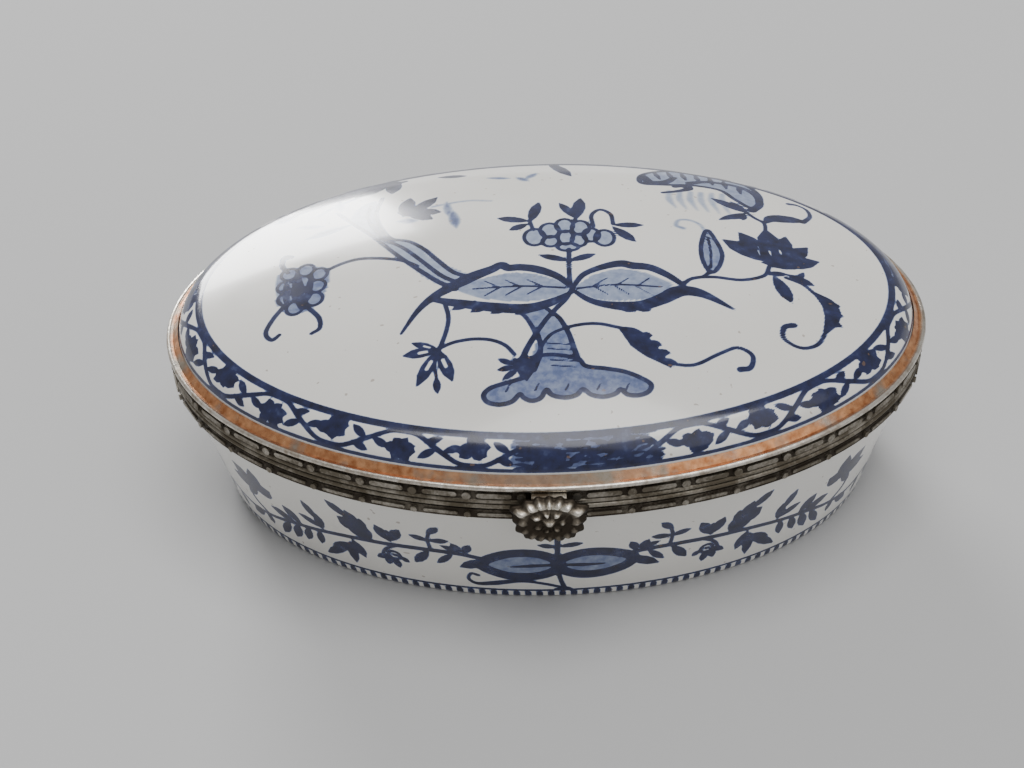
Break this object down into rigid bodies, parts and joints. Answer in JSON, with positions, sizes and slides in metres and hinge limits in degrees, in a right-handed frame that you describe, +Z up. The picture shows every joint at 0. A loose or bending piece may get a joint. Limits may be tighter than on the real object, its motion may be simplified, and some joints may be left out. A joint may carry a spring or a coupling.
{
  "type": "trinket box",
  "caption": "Oval porcelain trinket box with a domed lid, blue painted flowers, metal mounts round both rims, a back hinge and a cast rosette clasp.",
  "frame": {"origin": "middle of the oval on the surface that the foot ring rests on", "axes": "+X along the oval's long axis, to the right seen from the clasp; +Y towards the hinge at the back; +Z up"},
  "size_m": [0.11, 0.0823, 0.0362],
  "materials": {
    "lid_glaze": "glossy white glaze with cobalt painting",
    "dish_glaze": "glossy white glaze with cobalt painting",
    "cement": "matte",
    "mount_metal": "worn silver plate over brass",
    "ornament_metal": "tarnished silver plate over brass",
    "hinge_metal": "tarnished silver plate over brass",
    "pin_metal": "drawn wire",
    "clasp_metal": "cast, tarnished silver plate"
  },
  "bodies": {
    "dish": {"body_porcelain": "dish_glaze", "base_cement": "cement", "base_bezel": "mount_metal", "base_gallery": "ornament_metal", "base_ornament": "ornament_metal", "base_reed": "ornament_metal", "base_hinge_leaf": "hinge_metal", "base_hinge_knuckles": "hinge_metal", "hinge_pin": "pin_metal", "clasp_catch": "hinge_metal"},
    "lid": {"lid_porcelain": "lid_glaze", "lid_cement": "cement", "lid_bezel": "mount_metal", "lid_gallery": "ornament_metal", "lid_ornament": "ornament_metal", "lid_reed": "ornament_metal", "lid_hinge_leaf": "hinge_metal", "lid_hinge_knuckles": "hinge_metal", "clasp_hook": "hinge_metal", "clasp_rosette": "clasp_metal"}
  },
  "joints": [
    {"name": "lid_hinge", "type": "hinge", "parent": "dish", "child": "lid", "pos_m": [0, 0.0389, 0.023], "axis": [-1, 0, 0], "range_deg": [0, 100]}
  ]
}
